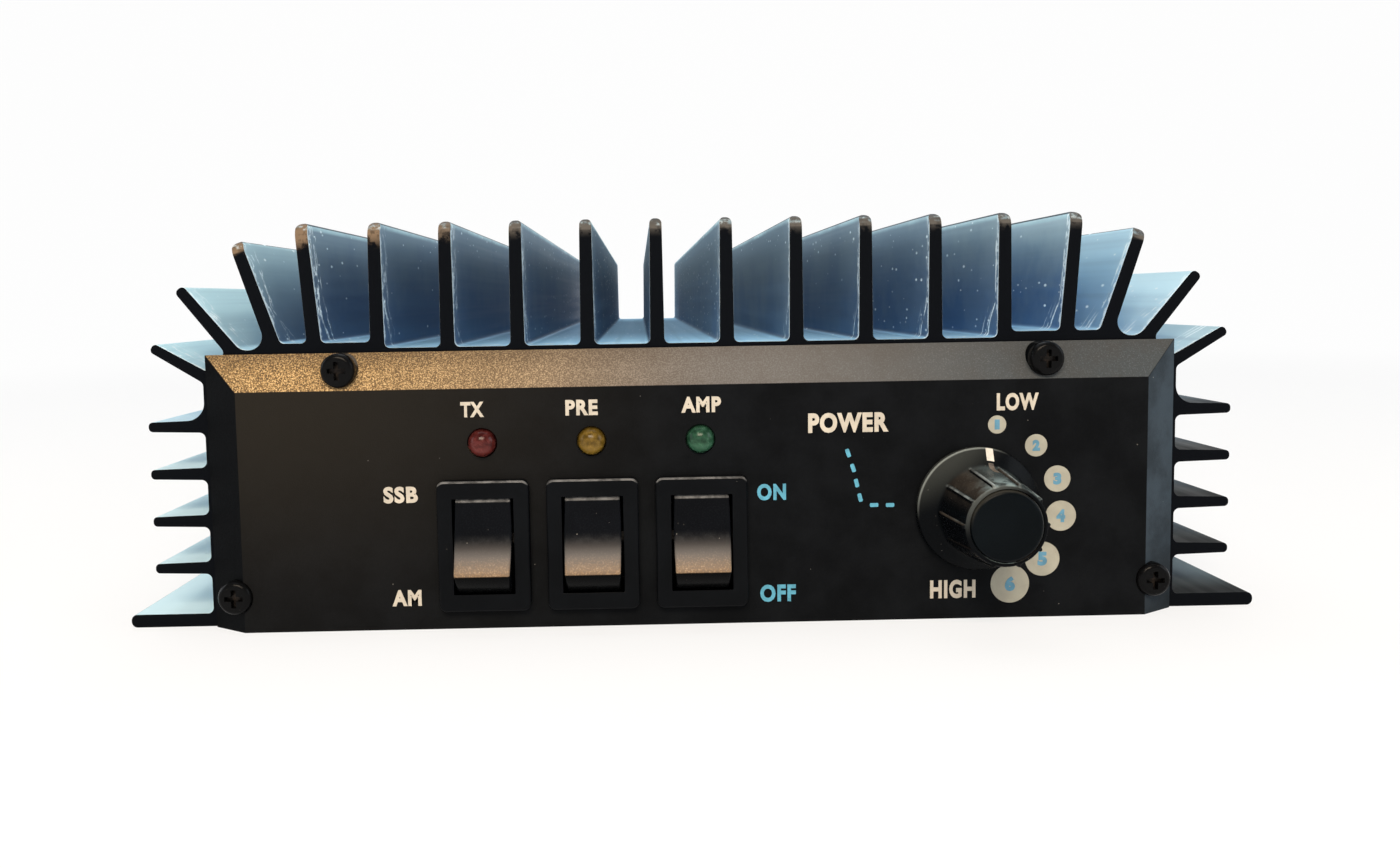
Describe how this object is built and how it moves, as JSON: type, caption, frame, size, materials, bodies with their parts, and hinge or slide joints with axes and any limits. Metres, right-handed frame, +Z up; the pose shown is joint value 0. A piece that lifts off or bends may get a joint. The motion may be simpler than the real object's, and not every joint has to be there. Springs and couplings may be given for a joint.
{
  "type": "hf linear amplifier",
  "caption": "Mobile HF linear amplifier: finned aluminium housing with rocker switches, indicator lights, a stepped power knob, coaxial sockets and fuses.",
  "frame": {"origin": "middle of the underside: midway between the ends of the extrusion and across its flanges, in the plane of the flanges' undersides", "axes": "+X to the right seen from the front, +Y to the rear, +Z up; the front panel faces -Y"},
  "size_m": [0.19, 0.2451, 0.0672],
  "materials": {
    "anodised_aluminium": "black anodised, satin",
    "textured_black_paint": "fine textured",
    "black_steel": "black oxide, semi gloss",
    "gloss_black_plastic": "gloss",
    "satin_black_plastic": "satin",
    "white_plastic": "satin",
    "bright_steel": "zinc plated",
    "nickel_plate": "nickel plated",
    "tinned_brass": "tinned",
    "black_rubber": "matt",
    "board_laminate": "solder mask",
    "grey_ferrite": "sintered",
    "enamelled_copper": "enamelled",
    "red_lens": "clear tinted",
    "amber_lens": "clear tinted",
    "green_lens": "clear tinted",
    "fuse_glass": "clear"
  },
  "bodies": {
    "root": {"heatsink_housing": "anodised_aluminium", "bottom_plate": "textured_black_paint", "front_panel": "textured_black_paint", "rear_panel": "textured_black_paint", "front_panel_screws": "black_steel", "rear_panel_screws": "black_steel", "bottom_plate_screws": "black_steel", "rotary_switch": "bright_steel", "rotary_switch_nut": "nickel_plate", "rotary_switch_pins": "tinned_brass", "input_socket_shell": "nickel_plate", "antenna_socket_shell": "nickel_plate", "socket_dielectrics": "white_plastic", "socket_contacts": "tinned_brass", "socket_screws": "bright_steel", "socket_nuts": "bright_steel", "fuse_holder_nuts": "satin_black_plastic", "power_grommet": "black_rubber", "main_board": "board_laminate", "board_standoffs": "nickel_plate", "board_screws": "bright_steel", "rf_transistors": "nickel_plate", "transistor_screws": "bright_steel", "output_transformer": "grey_ferrite", "input_transformer": "grey_ferrite", "transformer_windings": "enamelled_copper", "relays": "satin_black_plastic", "electrolytic_cans": "satin_black_plastic", "choke_core": "grey_ferrite", "choke_winding": "enamelled_copper", "attenuator_resistors": "satin_black_plastic", "mica_capacitors": "satin_black_plastic", "signal_jumpers": "enamelled_copper", "rocker_frame_a": "satin_black_plastic", "rocker_frame_b": "satin_black_plastic", "rocker_frame_c": "satin_black_plastic", "rocker_blades": "tinned_brass", "led_red": "red_lens", "led_amber": "amber_lens", "led_green": "green_lens", "led_leads": "tinned_brass", "fuse_holder_a": "satin_black_plastic", "fuse_holder_b": "satin_black_plastic", "fuse_holder_c": "satin_black_plastic"},
    "knob": {"knob_body": "gloss_black_plastic", "knob_cap": "satin_black_plastic", "knob_pointer": "white_plastic", "switch_shaft": "bright_steel"},
    "rocker_a": {"rocker_paddle_a": "gloss_black_plastic"},
    "rocker_b": {"rocker_paddle_b": "gloss_black_plastic"},
    "rocker_c": {"rocker_paddle_c": "gloss_black_plastic"},
    "fuse_a": {"fuse_tube_a": "fuse_glass", "fuse_ends_a": "nickel_plate"},
    "fuse_b": {"fuse_tube_b": "fuse_glass", "fuse_ends_b": "nickel_plate"},
    "fuse_c": {"fuse_tube_c": "fuse_glass", "fuse_ends_c": "nickel_plate"},
    "cap_a": {"fuse_cap_a": "gloss_black_plastic"},
    "cap_b": {"fuse_cap_b": "gloss_black_plastic"},
    "cap_c": {"fuse_cap_c": "gloss_black_plastic"}
  },
  "joints": [
    {"name": "knob_turn", "type": "hinge", "parent": "root", "child": "knob", "pos_m": [0.0463, 0, 0.0186], "axis": [0, 1, 0], "range_deg": [0, 150]},
    {"name": "rocker_a_tilt", "type": "hinge", "parent": "root", "child": "rocker_a", "pos_m": [-0.0347, -0.1056, 0.014], "axis": [1, 0, 0], "range_deg": [0, 30]},
    {"name": "rocker_b_tilt", "type": "hinge", "parent": "root", "child": "rocker_b", "pos_m": [-0.0169, -0.1056, 0.014], "axis": [1, 0, 0], "range_deg": [0, 30]},
    {"name": "rocker_c_tilt", "type": "hinge", "parent": "root", "child": "rocker_c", "pos_m": [0.0009, -0.1056, 0.014], "axis": [1, 0, 0], "range_deg": [0, 30]},
    {"name": "fuse_a_draw", "type": "slide", "parent": "root", "child": "fuse_a", "axis": [0, 1, 0], "range_m": [0, 0.036]},
    {"name": "fuse_b_draw", "type": "slide", "parent": "root", "child": "fuse_b", "axis": [0, 1, 0], "range_m": [0, 0.036]},
    {"name": "fuse_c_draw", "type": "slide", "parent": "root", "child": "fuse_c", "axis": [0, 1, 0], "range_m": [0, 0.036]},
    {"name": "cap_a_turn", "type": "hinge", "parent": "fuse_a", "child": "cap_a", "pos_m": [-0.02914, 0.115, 0.02], "axis": [0, 1, 0], "range_deg": [0, 60]},
    {"name": "cap_b_turn", "type": "hinge", "parent": "fuse_b", "child": "cap_b", "pos_m": [-0.00898, 0.115, 0.02], "axis": [0, 1, 0], "range_deg": [0, 60]},
    {"name": "cap_c_turn", "type": "hinge", "parent": "fuse_c", "child": "cap_c", "pos_m": [0.01118, 0.115, 0.02], "axis": [0, 1, 0], "range_deg": [0, 60]}
  ]
}
